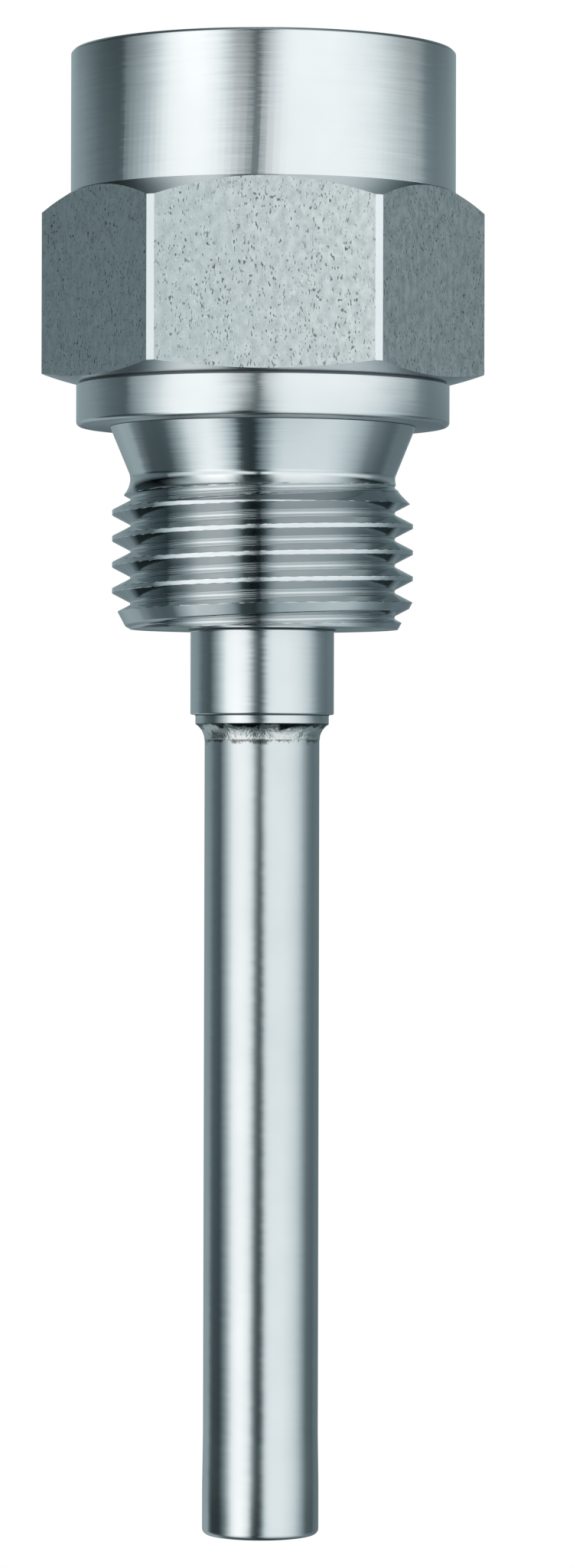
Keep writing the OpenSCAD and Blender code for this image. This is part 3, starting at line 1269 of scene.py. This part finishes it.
        # The gradient starts at -X, so a quarter turn brings the front to its middle
        facing = add_node(tree, "ShaderNodeMapping", {},
                          {"Vector": place, "Rotation": (0, 0, math.radians(90))}).outputs[0]
        azimuth = add_node(tree, "ShaderNodeTexGradient", {"gradient_type": "RADIAL"},
                           {"Vector": facing}).outputs["Fac"]
        unit = add_node(tree, "ShaderNodeVectorMath", {"operation": "NORMALIZE"},
                        {0: place}).outputs[0]
        height = add_node(tree, "ShaderNodeSeparateXYZ", {}, {0: unit}).outputs["Z"]
        light = self.band_light(tree, azimuth, self.bands[0])
        for low, high in zip(self.bands, self.bands[1:]):
            share = add_node(tree, "ShaderNodeMapRange", {},
                             {"Value": height, "From Min": math.sin(math.radians(low.elevation)),
                              "From Max": math.sin(math.radians(high.elevation))}).outputs[0]
            light = add_node(tree, "ShaderNodeMix", {"data_type": "RGBA"},
                             {"Factor": share, TONE_A: light,
                              TONE_B: self.band_light(tree, azimuth, high)}).outputs[TONE_OUT]
        glow = add_node(tree, "ShaderNodeEmission", {},
                        {"Color": light, "Strength": self.strength})
        add_node(tree, "ShaderNodeOutputMaterial", {}, {"Surface": glow.outputs[0]})
        material.cycles.emission_sampling = "NONE"
        return material


@dataclass(frozen=True)
class PaleFloor:
    """A roll of matt pale paper, which scatters all light evenly."""

    name: str = "pale_paper"
    colour: str = "#F2F3F3"

    def material(self) -> Material:
        """Builds the material.

        Returns:
            The material.
        """
        material, tree = new_material(self.name)
        paper = add_node(tree, "ShaderNodeBsdfDiffuse", {}, {"Color": srgb(self.colour)})
        add_node(tree, "ShaderNodeOutputMaterial", {}, {"Surface": paper.outputs[0]})
        return material


@dataclass
class Studio:
    """Camera, light tent, soft lamp, white surround and the floor far below."""

    distance: float = 0.390
    height: float = -0.02487
    lens: float = 128.5
    sensor: float = 36.0
    shift: float = 0.01566
    roll: float = math.radians(-0.136)
    turn: float = math.radians(0.45)
    near_clip: float = 0.01
    far_clip: float = 20.0
    tent_radius: float = 1.4
    floor_height: float = -0.45
    floor_radius: float = 2.4
    lamp_place: tuple[float, float, float] = (-0.5, -0.5, 1.1)
    lamp_size: float = 0.5
    lamp_power: float = 5.0
    # How bright the surround is to matt surfaces; to the eye and in reflections it is white
    surround: float = 0.75

    def camera(self) -> None:
        """Puts the camera level with the middle of the piece, square on to one hexagon face."""
        data = bpy.data.cameras.new("product_camera")
        data.lens, data.sensor_width, data.shift_x = self.lens, self.sensor, self.shift
        data.clip_start, data.clip_end = self.near_clip, self.far_clip
        camera = bpy.data.objects.new("product_camera", data)
        camera.location = (-self.distance * math.sin(self.turn),
                           -self.distance * math.cos(self.turn), self.height)
        camera.rotation_euler = (math.radians(90), self.roll, -self.turn)
        bpy.context.scene.collection.objects.link(camera)
        bpy.context.scene.camera = camera

    def tent(self) -> None:
        """Hangs the light tent, which only reflections see."""
        deselect()
        bpy.ops.mesh.primitive_uv_sphere_add(segments=96, ring_count=48, radius=self.tent_radius,
                                             location=(0, 0, 0))
        tent = bpy.context.active_object
        tent.name = tent.data.name = "light_tent"
        tent.data.materials.append(TentGlow().material())
        tent.visible_camera = tent.visible_diffuse = tent.visible_shadow = False
        tent.visible_transmission = tent.visible_volume_scatter = False

    def floor(self) -> None:
        """Lays the pale floor far below."""
        deselect()
        bpy.ops.mesh.primitive_circle_add(vertices=128, radius=self.floor_radius,
                                          fill_type="NGON", location=(0, 0, self.floor_height))
        floor = bpy.context.active_object
        floor.name = floor.data.name = "pale_floor"
        floor.data.materials.append(PaleFloor().material())
        floor.visible_glossy = False

    def lamp(self) -> None:
        """Hangs one large soft lamp, which gives the floor its shadow."""
        data = bpy.data.lights.new("soft_lamp", "AREA")
        data.shape, data.size, data.energy = "DISK", self.lamp_size, self.lamp_power
        lamp = bpy.data.objects.new("soft_lamp", data)
        lamp.location = self.lamp_place
        lamp.rotation_euler = (-Vector(self.lamp_place)).to_track_quat("-Z", "Y").to_euler()
        lamp.visible_glossy = False
        bpy.context.scene.collection.objects.link(lamp)

    def world(self) -> None:
        """Makes the surround white to the eye and in reflections, and dimmer for the rest."""
        world = bpy.data.worlds.new("white_surround")
        bpy.context.scene.world = world
        world.use_nodes = True
        tree = world.node_tree
        tree.nodes.clear()
        path = add_node(tree, "ShaderNodeLightPath").outputs
        seen = path["Is Camera Ray"]
        for name in ("Is Glossy Ray", "Is Transmission Ray"):
            seen = add_node(tree, "ShaderNodeMath", {"operation": "MAXIMUM"},
                            {0: seen, 1: path[name]}).outputs[0]
        strength = add_node(tree, "ShaderNodeMapRange", {},
                            {"Value": seen, "To Min": self.surround, "To Max": 1.0}).outputs[0]
        back = add_node(tree, "ShaderNodeBackground", {},
                        {"Color": (1, 1, 1, 1), "Strength": strength})
        add_node(tree, "ShaderNodeOutputWorld", {}, {"Surface": back.outputs[0]})

    def build(self) -> None:
        """Sets the whole studio up."""
        bpy.context.scene.view_settings.view_transform = "Standard"
        self.camera()
        self.tent()
        self.floor()
        self.lamp()
        self.world()


# ---------- putting it together ----------


def main() -> None:
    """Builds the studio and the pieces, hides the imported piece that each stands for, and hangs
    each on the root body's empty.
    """
    logging.basicConfig(level=logging.INFO, format="%(name)s: %(message)s")
    Studio().build()
    plan = (
        (TurnedBody(), "screw_in_body", "turned_steel"),
        (StemTube(), "stem_tube", "tube_steel"),
        (WeldBead(), "stem_weld", "weld_steel"),
        (EndDisc(), "tip_plug", "weld_steel"),
    )
    for maker, node, slot in plan:
        piece = maker.build()
        maker.dress(piece)
        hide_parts(node)
        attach(piece, "root")
        log.info("%s: %d faces, %d open edges", piece.name, len(piece.data.polygons),
                 open_edges(piece))


if __name__ == "__main__":
    main()
